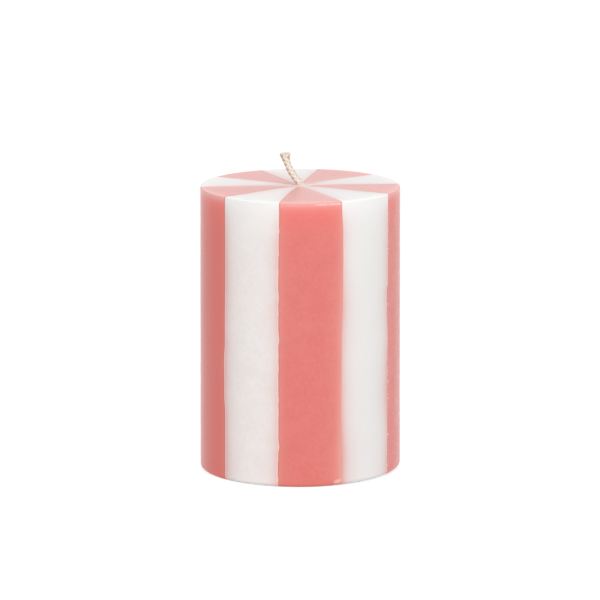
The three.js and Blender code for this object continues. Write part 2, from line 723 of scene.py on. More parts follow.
    def material(self) -> bpy.types.Material:
        """Makes the finish.

        Returns:
            The material.
        """
        material, tree, output = new_material(self.name)
        place = add_node(tree, "ShaderNodeTexCoord").outputs["Object"]
        stretched = add_node(
            tree,
            "ShaderNodeMapping",
            {"Vector": place, "Scale": (1 / self.drag_width, 1 / self.drag_width, 1 / self.drag_length)},
        )
        drag = add_node(
            tree,
            "ShaderNodeTexNoise",
            {"Vector": stretched.outputs["Vector"], "Scale": 1.0, "Detail": 3.0},
        )
        grain = add_node(
            tree,
            "ShaderNodeTexNoise",
            {"Vector": place, "Scale": 1 / self.grain_size, "Detail": 1.0},
        )
        wave = add_node(
            tree,
            "ShaderNodeTexNoise",
            {"Vector": place, "Scale": 1 / self.wave_size, "Detail": 1.0},
        )
        relief = add_node(
            tree,
            "ShaderNodeMix",
            {"Factor": 0.08, "A": wave.outputs["Fac"], "B": drag.outputs["Fac"]},
            data_type="FLOAT",
        )
        bump = add_node(
            tree,
            "ShaderNodeBump",
            {"Strength": 0.5, "Distance": self.wave_depth, "Height": relief.outputs["Result"]},
        )
        roughness = add_node(
            tree,
            "ShaderNodeMapRange",
            {
                "Value": grain.outputs["Fac"],
                "From Min": 0.3,
                "From Max": 0.7,
                "To Min": self.smoothest,
                "To Max": self.roughest,
            },
        )
        distance = add_node(tree, "ShaderNodeAttribute", attribute_name="seam_distance")
        scatter = add_node(
            tree,
            "ShaderNodeMapRange",
            {
                "Value": distance.outputs["Fac"],
                "From Min": self.scatter_from / MM,
                "From Max": self.scatter_full / MM,
                "To Max": self.scatter_weight,
            },
        )
        shader = add_node(
            tree,
            "ShaderNodeBsdfPrincipled",
            {
                "Base Color": self.dye(tree, place),
                "Roughness": roughness.outputs["Result"],
                "IOR": self.refraction,
                "Specular IOR Level": self.gloss,
                "Normal": bump.outputs["Normal"],
                "Subsurface Weight": scatter.outputs["Result"],
                "Subsurface Radius": self.scatter,
                "Subsurface Scale": self.scatter_length,
            },
        )
        tree.links.new(shader.outputs["BSDF"], output.inputs["Surface"])
        return material


@dataclass
class WaxWedge:
    """One full-depth slice of wax, from the bore to the outside."""

    name: str
    wax: Wax
    finish: CastWax
    body: WaxBody
    start: Seam
    end: Seam
    dye_strength: float
    scuffs: tuple[Scuff, ...] = ()
    recess_cells: int = 6
    ring_cells: int = 22
    height_cells: int = 260
    angle_cells: int = 30
    height_crowding: float = 0.6
    angle_crowding: float = 0.75
    full_scuff: float = 0.05 * MM

    MARKS: ClassVar[tuple[str, ...]] = (
        "dye_strength",
        "seam_distance",
        "painted_groove_line",
        "seam_specks",
        "painted_bleed_wide",
        "painted_bleed_close",
        "painted_glow_deep",
        "painted_glow_rim",
        "bloom",
        "core",
        "scuffed_and_glint",
    )

    def seam_angle(self, wedge: int) -> float:
        """The angle of the true plane where this wedge starts."""
        return (wedge - 0.5) * 2 * math.pi / self.body.wedge_count

    def column_radius(self, column: int) -> float:
        """Finds where a column of the half section leaves the base.

        Args:
            column: The column, from the bore to the outer wall.

        Returns:
            Its radius there.
        """
        body = self.body
        if column <= self.recess_cells:
            return blend_number(body.bore_radius, body.recess_radius, column / self.recess_cells)
        share = (column - self.recess_cells - 1) / self.ring_cells
        rim = body.base_radius - body.base_edge
        return blend_number(body.recess_radius + body.recess_draft, rim, share)

    def section_point(self, column: int, share: float) -> tuple[float, float]:
        """A point of the half section.

        Args:
            column: The column, from the bore to the outer wall.
            share: 0 at the base, 1 at the top.

        Returns:
            The point's radius and height.
        """
        body = self.body
        flat_edge = body.base_radius - body.base_edge
        outer_radius, outer_height = body.outer_wall(share)
        outward = (self.column_radius(column) - body.bore_radius) / (flat_edge - body.bore_radius)
        floor = body.recess_depth if column <= self.recess_cells else 0.0
        radius = blend_number(body.bore_radius, outer_radius, outward)
        return radius, blend_number(floor, body.height, outer_height / body.height)

    def half_section(self) -> bmesh.types.BMesh:
        """Makes the flat grid that a wedge is spun from.

        Returns:
            The grid, in the plane of -Y.
        """
        columns = self.recess_cells + 1 + self.ring_cells
        bm = bmesh.new()
        bmesh.ops.create_grid(bm, x_segments=columns, y_segments=self.height_cells, size=0.5)
        for vert in bm.verts:
            column = round((vert.co.x + 0.5) * columns)
            share = crowd_ends(vert.co.y + 0.5, self.height_crowding)
            radius, height = self.section_point(column, share)
            vert.co = Vector((0.0, -radius, height))
        return bm

    def look_of(self, seam: Seam, distance: float, height: float) -> tuple[float, float]:
        """Works out how strongly the painted bleed of light from across a seam tints this wedge.

        Args:
            seam: The seam.
            distance: The distance from it.
            height: The height above the base.

        Returns:
            The strength of the wide tint and of the close one.
        """
        look = seam.join.value
        amount = look.into_coral if self.wax is Wax.CORAL else look.into_white
        amount *= seam.patchiness(height)
        wide = amount * math.exp(-distance / self.finish.wide_reach)
        return wide, amount * math.exp(-distance / self.finish.close_reach)

    def place(self, vert: bmesh.types.BMVert, layers: dict[str, Any], share: float) -> None:
        """Carries a vertex to its true place and marks it for the finish.

        Args:
            vert: The vertex, at the right radius and height.
            layers: The layer for each of the marks.
            share: How far it is from the start seam, 0, to the end seam, 1.
        """
        body = self.body
        radius, height = round(math.hypot(vert.co.x, vert.co.y), 7), round(vert.co.z, 7)
        settled = smooth_step(body.bore_radius, 5 * body.bore_radius, radius)
        half_gap = body.seam_gap / 2
        start = self.seam_angle(self.start.number)
        end = start + 2 * math.pi / body.wedge_count
        start += (self.start.offset(radius, height) * settled + half_gap) / radius
        end += (self.end.offset(radius, height) * settled - half_gap) / radius
        angle = blend_number(start, end, share)
        from_start, from_end = (angle - start) * radius, (end - angle) * radius
        near = (self.start if from_start < from_end else self.end).join.value
        distance = min(from_start, from_end)
        wide_start, close_start = self.look_of(self.start, from_start, height)
        wide_end, close_end = self.look_of(self.end, from_end, height)
        scuffed_and_glint = max((s.strength(angle, radius, height) * s.dent for s in self.scuffs), default=0.0)
        depth, radial, upward = body.nearest_skin(radius, height)
        weight = math.exp(-max(depth, 0.0) / body.skin)
        if weight > 0.01:
            lift = body.lift(angle, height, distance) - scuffed_and_glint
            if upward < 0:
                lift = min(lift, 0.0)
            radius += lift * radial * weight
            height += lift * upward * weight
        height += body.worn(angle, radius, height)
        vert.co = Vector((radius * math.sin(angle), -radius * math.cos(angle), height))
        below_rim = body.below_rim(radius, height)
        core = smooth_step(self.finish.core_radius, body.bore_radius, radius)
        marks = {
            "dye_strength": self.dye_strength,
            "seam_distance": distance / MM,
            "painted_groove_line": near.painted_groove_amount,
            "seam_specks": near.specks,
            # Painted light: the bleed of light scattered across each seam from the other wax.
            "painted_bleed_wide": min(1.0, wide_start + wide_end),
            "painted_bleed_close": min(1.0, close_start + close_end),
            # Painted light: the wax is painted lighter below its brightly lit rim.
            "painted_glow_deep": math.exp(-below_rim / self.finish.deep_reach),
            "painted_glow_rim": math.exp(-max(0.0, below_rim - self.finish.rim_width) / self.finish.rim_reach),
            # On the top the wax is painted paler: partly a fine bloom, partly a painted reflection of the
            # bright surroundings.
            "bloom": smooth_step(0.5, 1.0, upward) * weight * self.finish.bloom,
            "core": core,
            # Scraped wax is painted pale; at the top rim this is also a painted highlight on the chipped
            # edge.
            "scuffed_and_glint": min(1.0, scuffed_and_glint / self.full_scuff),
        }
        for mark, amount in marks.items():
            vert[layers[mark]] = amount

    def build(self, material: bpy.types.Material) -> bpy.types.Object:
        """Spins the half section into the wedge and lays both of its cut faces on their seams.

        Args:
            material: The wedge's finish.

        Returns:
            The piece.
        """
        bm = self.half_section()
        wedge_angle = 2 * math.pi / self.body.wedge_count
        spin_round(bm, wedge_angle, self.angle_cells, merge=False)
        layers = {mark: bm.verts.layers.float.new(mark) for mark in self.MARKS}
        for vert in bm.verts:
            turned = math.atan2(vert.co.x, -vert.co.y) / wedge_angle
            self.place(vert, layers, crowd_ends(turned, self.angle_crowding))
        bmesh.ops.recalc_face_normals(bm, faces=bm.faces)
        return finished_object(self.name, bm, material)


@dataclass(frozen=True)
class PouredWax:
    """Undyed paraffin wax poured round the wick, tinted by the coral wax that it melted.

    It set in the open, not against a mould, so it is duller and lumpier than the cast wax.
    """

    name: str = "poured_paraffin"
    body_colour: str = "#eedcd2"
    cloud_colour: str = "#f0cfc5"
    cloud_size: float = 1.6 * MM
    cloud_depth: float = 0.05 * MM
    scatter: tuple[float, float, float] = (1.0, 0.6, 0.5)
    scatter_length: float = 0.8 * MM
    refraction: float = 1.44

    def material(self) -> bpy.types.Material:
        """Makes the finish.

        Returns:
            The material.
        """
        material, tree, output = new_material(self.name)
        place = add_node(tree, "ShaderNodeTexCoord").outputs["Object"]
        cloud = add_node(
            tree,
            "ShaderNodeTexNoise",
            {"Vector": place, "Scale": 1 / self.cloud_size, "Detail": 3.0},
        )
        share = add_node(
            tree,
            "ShaderNodeMapRange",
            {"Value": cloud.outputs["Fac"], "From Min": 0.35, "From Max": 0.65},
        )
        colour = add_node(
            tree,
            "ShaderNodeMix",
            {
                "Factor": share.outputs["Result"],
                "A": linear(self.body_colour),
                "B": linear(self.cloud_colour),
            },
            data_type="RGBA",
        )
        bump = add_node(
            tree,
            "ShaderNodeBump",
            {"Strength": 0.4, "Distance": self.cloud_depth, "Height": cloud.outputs["Fac"]},
        )
        roughness = add_node(
            tree,
            "ShaderNodeMapRange",
            {"Value": cloud.outputs["Fac"], "To Min": 0.30, "To Max": 0.48},
        )
        shader = add_node(
            tree,
            "ShaderNodeBsdfPrincipled",
            {
                "Base Color": colour.outputs["Result"],
                "Roughness": roughness.outputs["Result"],
                "IOR": self.refraction,
                "Normal": bump.outputs["Normal"],
                "Subsurface Weight": 0.4,
                "Subsurface Radius": self.scatter,
                "Subsurface Scale": self.scatter_length,
            },
        )
        tree.links.new(shader.outputs["BSDF"], output.inputs["Surface"])
        return material


@dataclass(frozen=True)
class WickFit:
    """The sizes that the wick shares with the wax and the sustainer's neck round it."""

    diameter: float = 2.5 * MM
    clearance: float = 0.05 * MM
    sheet: float = 0.3 * MM
    crimp_height: float = 4.6 * MM
    crimp_length: float = 0.9 * MM
    crimp_depth: float = 0.14 * MM

    @property
    def neck_radius(self) -> float:
        """The radius of the middle of the neck's sheet."""
        return self.diameter / 2 + self.clearance + self.sheet / 2

    @property
    def neck_hole(self) -> float:
        """The radius of the hole in the wax that the neck stands in."""
        return self.neck_radius + self.sheet / 2 + self.clearance

    def pinch(self, height: float, angle: float) -> float:
        """How far the crimp presses the neck and the wick in, at four places round them."""
        away = (height - self.crimp_height) / self.crimp_length
        return self.crimp_depth * math.exp(-(away**2)) * (0.5 + 0.5 * math.cos(4 * angle))


@dataclass
class BoreWax:
    """The sleeve of wax in the bore, which has climbed the wick where it comes out."""

    body: WaxBody
    fit: WickFit
    name: str = "poured_bore_wax"
    steps: int = 72
    curve_steps: int = 12
    height_cells: int = 24
    climb: float = 0.75 * MM
    climb_power: float = 2.4
    higher_side: float = 0.45
    lump_size: float = 0.9 * MM
    lumpiness: float = 0.35
    height_crowding: float = 0.8
    grip: float = 0.15 * MM

    def build(self, material: bpy.types.Material) -> bpy.types.Object:
        """Spins the sleeve from its half section and tips its top towards the wick's upper side.

        Args:
            material: The sleeve's finish.

        Returns:
            The piece.
        """
        body, fit = self.body, self.fit
        neck_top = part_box("wick_sustainer")[1].z + fit.clearance
        outside = body.bore_radius - body.seam_gap
        inside = fit.diameter / 2 - self.grip
        outline = [Vector((0.0, -radius, body.recess_depth)) for radius in (fit.neck_hole, outside)]
        for step in range(self.height_cells + 1):
            share = crowd_ends(step / self.height_cells, self.height_crowding)
            height = blend_number(neck_top, body.height - body.seam_gap, share)
            outline.append(Vector((0.0, -outside, height)))
        for step in range(1, self.curve_steps + 1):
            share = step / self.curve_steps
            radius = blend_number(outside, inside, share)
            outline.append(Vector((0.0, -radius, body.height + self.climb * share**self.climb_power)))
        outline.append(Vector((0.0, -inside, neck_top)))
        outline.append(Vector((0.0, -fit.neck_hole, neck_top)))
        bm = bmesh.new()
        corners = [bm.verts.new(point) for point in outline]
        for pair in zip(corners, corners[1:] + corners[:1]):
            bm.edges.new(pair)
        spin_round(bm, math.tau, self.steps, merge=True)
        bmesh.ops.remove_doubles(bm, verts=bm.verts, dist=WELD)
        bmesh.ops.recalc_face_normals(bm, faces=bm.faces)
        for vert in bm.verts:
            above = vert.co.z - body.height
            if above > 0:
                tipped = 1 + self.higher_side * vert.co.x / vert.co.xy.length
                level_place = Vector((vert.co.x, vert.co.y, 0.0))
                lumpy = 1 + self.lumpiness * noise.noise(level_place / self.lump_size)
                vert.co.z = body.height + above * tipped * lumpy
        return finished_object(self.name, bm, material)


@dataclass(frozen=True)
class WaxedCotton:
    """Undyed cotton yarn, braided, and stiff with the wax that it was dipped in.

    The wax fills the fibres, so the crowns are smooth and the hollows between strands are nearly
    matt. The crowns are painted creamy as a painted highlight, the hollows painted brown as
    painted shade, and the stub's upper side painted greyer and its underside browner as painted
    shade. A cotton fibre is about 0.02 mm thick. The fibres are drawn 0.07 mm wide, because finer
    ones don't show.
    """

    name: str = "waxed_cotton"
    # The crown, hollow, upper and under colours are painted highlight and painted shade.
    painted_highlight_colour: str = "#f6f0e5"
    yarn_colour: str = "#ebe0d0"
    painted_hollow_shade: str = "#ad9378"
    painted_upper_shade: str = "#cdc4b8"
    painted_under_shade: str = "#c0a288"
    fibre_width: float = 0.07 * MM
    fibre_length: float = 0.9 * MM
    fibre_depth: float = 0.03 * MM
    refraction: float = 1.44

    def material(self) -> bpy.types.Material:
        """Makes the finish.

        Returns:
            The material.
        """
        material, tree, output = new_material(self.name)
        along = add_node(tree, "ShaderNodeAttribute", attribute_name="along")
        scale = (1 / self.fibre_width, 1 / self.fibre_width, 1 / self.fibre_length)
        stretched = add_node(tree, "ShaderNodeMapping", {"Vector": along.outputs["Vector"], "Scale": scale})
        fibre = add_node(
            tree,
            "ShaderNodeTexNoise",
            {"Vector": stretched.outputs["Vector"], "Scale": 1.0, "Detail": 2.0},
        )
        # Painted light: crowns are painted light, hollows brown as painted shade.
        painted_light = add_node(tree, "ShaderNodeAttribute", attribute_name="painted_light")
        uneven = add_node(
            tree,
            "ShaderNodeMath",
            {0: fibre.outputs["Fac"], 1: 0.35, 2: painted_light.outputs["Fac"]},
            operation="MULTIPLY_ADD",
        )
        low = add_node(
            tree,
            "ShaderNodeMapRange",
            {"Value": uneven.outputs[0], "From Min": 0.30, "From Max": 0.75},
            interpolation_type="SMOOTHSTEP",
        )
        high = add_node(
            tree,
            "ShaderNodeMapRange",
            {"Value": uneven.outputs[0], "From Min": 0.75, "From Max": 1.15},
            interpolation_type="SMOOTHSTEP",
        )
        colour = add_node(
            tree,
            "ShaderNodeMix",
            {
                "Factor": low.outputs["Result"],
                "A": linear(self.painted_hollow_shade),
                "B": linear(self.yarn_colour),
            },
            data_type="RGBA",
        )
        colour = add_node(
            tree,
            "ShaderNodeMix",
            {
                "Factor": high.outputs["Result"],
                "A": colour.outputs["Result"],
                "B": linear(self.painted_highlight_colour),
            },
            data_type="RGBA",
        ).outputs["Result"]
        # Painted shade: the stub's upper side is painted greyer and its underside browner.
        side = add_node(tree, "ShaderNodeAttribute", attribute_name="side")
        for tint, towards in ((self.painted_upper_shade, 1.0), (self.painted_under_shade, -1.0)):
            share = add_node(
                tree,
                "ShaderNodeMapRange",
                {
                    "Value": side.outputs["Fac"],
                    "From Min": 0.25 * towards,
                    "From Max": 0.95 * towards,
                    "To Max": 0.7,
                },
                interpolation_type="SMOOTHSTEP",
            )
            colour = add_node(
                tree,
                "ShaderNodeMix",
                {"Factor": share.outputs["Result"], "A": colour, "B": linear(tint)},
                data_type="RGBA",
            ).outputs["Result"]
        bump = add_node(
            tree,
            "ShaderNodeBump",
            {"Strength": 0.6, "Distance": self.fibre_depth, "Height": fibre.outputs["Fac"]},
        )
        roughness = add_node(
            tree,
            "ShaderNodeMapRange",
            {"Value": painted_light.outputs["Fac"], "To Min": 0.85, "To Max": 0.55},
        )
        shader = add_node(
            tree,
            "ShaderNodeBsdfPrincipled",
            {
                "Base Color": colour,
                "Roughness": roughness.outputs["Result"],
                "IOR": self.refraction,
                "Normal": bump.outputs["Normal"],
                "Sheen Weight": 0.15,
                "Sheen Roughness": 0.5,
            },
        )
        tree.links.new(shader.outputs["BSDF"], output.inputs["Surface"])
        return material


@dataclass(frozen=True)
class Strand:
    """One of the wick's strands.

    Way is the number of turns that it makes in one pitch of the braid, and is less than 0 where it
    winds the other way. Start is the angle where it begins, and lift is how far it rises and dips
    as it crosses the others.
    """

    way: float
    start: float
    radius: float
    lift: float
    width: float
    depth: float
    sides: int
    filaments: int


@dataclass
class BraidedWick:
    """Eight cotton strands braided round three core yarns, with the cut end fraying.

    Where it was cut, the fibres are painted pale over the lit end length, as painted light on the
    cut end. A brown band of painted shade lies that length below the cut, under the flared end, and
    fades over the shade band length to both sides. Each filament at the cut stands for a tuft of
    fibres, which are too fine to show one by one.
    """

    fit: WickFit
    name: str = "braided_wick"
    foot_bend: float = 1.4 * MM
    stub_length: float = 11.85 * MM
    foot_lean: float = math.radians(42)
    tip_lean: float = math.radians(9)
    cut_lean: float = math.radians(3)
    splay_length: float = 3.2 * MM
    splay_width: float = 4.2 * MM
    splay_depth: float = 2.7 * MM
    pitch: float = 7.22 * MM
    strands_each_way: int = 4
    core_yarns: int = 3
    yarn_lobes: int = 3
    yarn_twist: float = 3.4 * MM
    lobe_depth: float = 0.09
    plumpness: float = 0.16
    fine_step: float = 0.2 * MM
    look_ahead: float = 0.05 * MM
    filament_radius: float = 0.07 * MM
    # Painted light on the cut end, and a band of painted shade below it.
    lit_end_length: float = 0.8 * MM
    shade_band_length: float = 0.32 * MM
    shade_band: float = 0.8
    plump_length: float = 1.3 * MM
    flare_width: float = 0.45
    flare_depth: float = 0.75
    blunt_length: float = 0.40 * MM
    bluntness: float = 0.05 * MM
    cut_unevenness: float = 0.06 * MM
    hidden_from: float = 8.0 * MM
    hidden_margin: float = 2.0 * MM
    fibre_root: float = 0.4 * MM
    fibre_sides: int = 6
    fibre_rings: int = 5
    bottom: float = field(init=False)
    top: float = field(init=False)
    chance: random.Random = field(default_factory=lambda: random.Random(5))

    def __post_init__(self) -> None:
        """Reads the heights of the wick's lower end and of the candle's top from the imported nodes."""
        self.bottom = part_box("wick")[0].z
        self.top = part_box("bore_wax")[1].z

    @property
    def length(self) -> float:
        """The wick's length, from its lower end to its cut end."""
        return self.top - self.bottom + self.foot_bend + self.stub_length

    def strands(self) -> list[Strand]:
        """Lists the strands.

        Returns:
            The braid's strands, half of them each way round, and the core yarns inside it.
        """
        made = []
        for number in range(self.strands_each_way):
            for way in (1.0, -1.0):
                braid = Strand(
                    way=way,
                    start=2 * math.pi * number / self.strands_each_way,
                    radius=0.80 * MM,
                    lift=0.15 * MM,
                    width=0.98 * MM,
                    depth=0.62 * MM,
                    sides=15,
                    filaments=44,
                )
                made.append(braid)
        for number in range(self.core_yarns):
            core = Strand(
                way=0.4,
                start=2 * math.pi * number / self.core_yarns,
                radius=0.30 * MM,
                lift=0.0,
                width=0.56 * MM,
                depth=0.56 * MM,
                sides=9,
                filaments=40,
            )
            made.append(core)
        return made

    @staticmethod
    def leaning(lean: float) -> Vector:
        """The direction that leans this far from upright, towards -X."""
        return Vector((-math.sin(lean), 0.0, math.cos(lean)))

    @staticmethod
    def bend(start: Vector, corner: Vector, end: Vector, share: float) -> tuple[Vector, Vector]:
        """Finds a point on a curve that leaves start towards corner and reaches end from it.

        Args:
            start: Where the curve starts.
            corner: The corner that it rounds.
            end: Where it ends.
            share: How far along it the point lies, from 0 to 1.

        Returns:
            The point and the curve's direction there.
        """
        first, second = start.lerp(corner, share), corner.lerp(end, share)
        return first.lerp(second, share), (second - first).normalized()

    def centre(self, travel: float) -> tuple[Vector, Vector]:
        """Follows the wick's middle line.

        Args:
            travel: How far along it, from its lower end.

        Returns:
            The point there and the direction.
        """
        straight = self.top - self.bottom
        if travel < straight:
            return Vector((0.0, 0.0, self.bottom + travel)), self.leaning(0.0)
        foot = Vector((0.0, 0.0, self.top))
        corner = foot + self.leaning(0.0) * self.foot_bend / 2
        bent = corner + self.leaning(self.foot_lean) * self.foot_bend / 2
        if travel < straight + self.foot_bend:
            return self.bend(foot, corner, bent, (travel - straight) / self.foot_bend)
        middle = bent + self.leaning(self.foot_lean) * self.stub_length / 2
        tip = middle + self.leaning(self.tip_lean) * self.stub_length / 2
        return self.bend(bent, middle, tip, (travel - straight - self.foot_bend) / self.stub_length)

    def opening(self, travel: float) -> float:
        """How far the wick has opened out, from 0 to 1 at its cut end."""
        return smooth_step(self.length - self.splay_length, self.length, travel)

    def section(self, travel: float) -> tuple[Vector, Vector, Vector]:
        """Finds the wick's cross section.

        Args:
            travel: How far along the wick, from its lower end.

        Returns:
            Its middle, and the directions across it and through it. They are as long as the
            section there is wide, against that of the closed braid.
        """
        middle, direction = self.centre(travel)
        opening = self.opening(travel)
        facing = direction.lerp(self.leaning(self.cut_lean), opening).normalized()
        wider = blend_number(1.0, self.splay_width / self.fit.diameter, opening)
        deeper = blend_number(1.0, self.splay_depth / self.fit.diameter, opening)
        return middle, Vector((facing.z, 0.0, -facing.x)) * wider, Vector((0.0, deeper, 0.0))

    def strand_middle(self, strand: Strand, travel: float) -> tuple[Vector, Vector]:
        """Follows the middle of a strand.

        Args:
            strand: The strand.
            travel: How far along the wick, from its lower end.

        Returns:
            The point there and the direction out of the wick.
        """
        middle, across, through = self.section(travel)
        turns = travel / self.pitch
        angle = 2 * math.pi * strand.way * turns + strand.start
        crossing = math.cos(2 * math.pi * self.strands_each_way * turns)
        squeezed = self.fit.pinch(self.bottom + travel, angle)
        radius = strand.radius + math.copysign(strand.lift, strand.way) * crossing
        radius *= 1 - squeezed / (self.fit.diameter / 2)
        outward = across * math.cos(angle) + through * math.sin(angle)
        return middle + outward * radius, outward.normalized()

    def ring_frame(self, strand: Strand, travel: float) -> tuple[Vector, Vector, Vector]:
        """Finds a strand's cross section.

        Args:
            strand: The strand.
            travel: How far along the wick, from its lower end.

        Returns:
            Its middle, the direction across it and the direction out of the wick.
        """
        middle, outward = self.strand_middle(strand, travel)
        ahead = self.strand_middle(strand, travel + self.look_ahead)[0]
        forward = (ahead - middle).normalized()
        outward = (outward - forward * outward.dot(forward)).normalized()
        return middle, outward.cross(forward), outward

    def stations(self, end: float) -> list[float]:
        """Spaces a strand's rings: close together where they show, and further apart in the wax.

        Args:
            end: Where the strand ends.

        Returns:
            How far along the wick each ring lies.
        """
        hidden_to = self.top - self.bottom - self.hidden_margin
        coarse_step = self.pitch / (4 * self.strands_each_way)
        places = [0.0]
        while places[-1] < end - self.fine_step:
            hidden = self.hidden_from < places[-1] < hidden_to
            places.append(places[-1] + (coarse_step if hidden else self.fine_step))
        return [*places[:-1], end]

    def within(self, point: Vector, travel: float) -> tuple[float, float]:
        """Finds where a point lies in the wick's section.

        Args:
            point: The point.
            travel: How far along the wick the section is.

        Returns:
            How far it is to the side that the stub's upper side is on, and how far from the middle.
            Both are 1 at the nominal radius.
        """
        middle, across, through = self.section(travel)
        away = point - middle
        sideways = away.dot(across) / across.length_squared / (self.fit.diameter / 2)
        deep = away.dot(through) / through.length_squared / (self.fit.diameter / 2)
        return sideways, math.hypot(sideways, deep)

    def add_tube(
        self,
        bm: bmesh.types.BMesh,
        sides: int,
        rings: int,
        put: Callable[[bmesh.types.BMVert, int, float], None],
    ) -> None:
        """Adds a tube, open at its ends: a grid that is rolled up, ring by ring.

        Args:
            bm: The mesh to add to.
            sides: The number of sides.
            rings: The number of rings, the two ends included.
            put: Places a vertex, given its ring and its angle round the ring.
        """
        made = bmesh.ops.create_grid(bm, x_segments=sides, y_segments=rings - 1, size=0.5)
        for vert in made["verts"]:
            side = round((vert.co.x + 0.5) * sides) % sides
            put(vert, round((vert.co.y + 0.5) * (rings - 1)), 2 * math.pi * side / sides)

    def add_strand(self, bm: bmesh.types.BMesh, strand: Strand) -> None:
        """Adds one strand, a flat bundle of twisted yarns, and the filaments at its end.

        Args:
            bm: The mesh to add to.
            strand: The strand.
        """
        end = self.length - self.chance.uniform(0.2, 0.45) * MM
        places = self.stations(end)
        frames = [self.ring_frame(strand, travel) for travel in places]
        painted_light, along = bm.verts.layers.float["painted_light"], bm.verts.layers.float_vector["along"]
        side = bm.verts.layers.float["side"]
        shift = self.chance.uniform(0.0, 100.0)

        def put(vert: bmesh.types.BMVert, ring: int, angle: float) -> None:
            """Places a vertex of the strand's skin.

            Args:
                vert: The vertex.
                ring: Its ring, from the lower end.
                angle: Its angle round the strand.
            """
            travel = places[ring]
            middle, wide, outward = frames[ring]
            opening = self.opening(travel)
            twisted = angle - 2 * math.pi * travel / self.yarn_twist
            lobes = 1 + self.lobe_depth * math.cos(self.yarn_lobes * twisted)
            plump = 1 + self.plumpness * noise.noise(Vector((travel / self.plump_length, shift, 0.0)))
            left = end - travel
            closed = blend_number(0.5, 1.0, smooth_step(0.0, self.blunt_length, left + self.bluntness))
            width = strand.width * (1 + self.flare_width * opening) * plump * closed / 2
            depth = strand.depth * (1 + self.flare_depth * opening) * closed / 2
            vert.co = middle + (wide * math.cos(angle) * width + outward * math.sin(angle) * depth) * lobes
            vert[side], out = self.within(vert.co, travel)
            # Painted light on the cut end, and a band of painted shade below it.
            lit_end = smooth_step(self.lit_end_length, 0.6 * self.lit_end_length, left)
            in_shade_band = math.exp(-(((left - self.lit_end_length) / self.shade_band_length) ** 2))
            vert[painted_light] = blend_number(smooth_step(0.55, 1.0, out), 1.05, lit_end) - self.shade_band * in_shade_band
            vert[along] = Vector((math.cos(angle) * MM + shift * MM, math.sin(angle) * MM, travel))

        self.add_tube(bm, strand.sides, len(places), put)
        for _ in range(strand.filaments):
            self.add_filament(bm, strand, end)

    def add_filament(self, bm: bmesh.types.BMesh, strand: Strand, end: float) -> None:
        """Adds one of the cut fibres at the end of a strand, which reaches about to the cut.

        Args:
            bm: The mesh to add to.
            strand: The strand.
            end: Where the strand ends.
        """
        painted_light, along = bm.verts.layers.float["painted_light"], bm.verts.layers.float_vector["along"]
        root, wide, outward = self.ring_frame(strand, end - self.fibre_root)
        around, away = self.chance.uniform(0.0, 2 * math.pi), self.chance.random() ** 0.5
        aside = math.cos(around) * away * strand.width * 0.72
        out = math.sin(around) * away * strand.depth * 0.8
        root = root + wide * aside + outward * out
        forward = self.leaning(self.cut_lean)
        uneven = self.chance.gauss(0.0, self.cut_unevenness)
        length = (self.centre(self.length)[0] - root).dot(forward) + uneven
        lean = wide * (aside / MM * 0.2 + self.chance.gauss(0.0, 0.10))
        lean += outward * self.chance.gauss(0.12, 0.15)
        curl = wide * self.chance.gauss(0.0, 0.12) + outward * self.chance.gauss(0.0, 0.12)
        # Each filament gets its own tone, and is painted darker at its root than at its tip: painted shade
        # deep in the tuft.
        shade = self.chance.uniform(0.95, 1.25)

        def put(vert: bmesh.types.BMVert, ring: int, angle: float) -> None:
            """Places a vertex of the filament.

            Args:
                vert: The vertex.
                ring: Its ring, from the root.
                angle: Its angle round the filament.
            """
            share = ring / (self.fibre_rings - 1)
            middle = root + (forward + lean * share + curl * share**2) * length * share
            thick = self.filament_radius * blend_number(1.0, 0.75, share)
            vert.co = middle + (wide * math.cos(angle) + outward * math.sin(angle)) * thick
            vert[painted_light] = shade * blend_number(0.7, 1.0, share)
            vert[along] = Vector((aside + math.cos(angle) * MM, out, length * share))

        self.add_tube(bm, self.fibre_sides, self.fibre_rings, put)

    def build(self, material: bpy.types.Material) -> bpy.types.Object:
        """Braids the strands and lets their cut ends fray.

        Args:
            material: The wick's finish.

        Returns:
            The piece.
        """
        bm = bmesh.new()
        bm.verts.layers.float.new("painted_light")
        bm.verts.layers.float.new("side")
        bm.verts.layers.float_vector.new("along")
        for strand in self.strands():
            self.add_strand(bm, strand)
        bmesh.ops.remove_doubles(bm, verts=bm.verts, dist=WELD / 10)
        bmesh.ops.holes_fill(bm, edges=[e for e in bm.edges if e.is_boundary], sides=0)
        bmesh.ops.recalc_face_normals(bm, faces=bm.faces)
        return finished_object(self.name, bm, material)


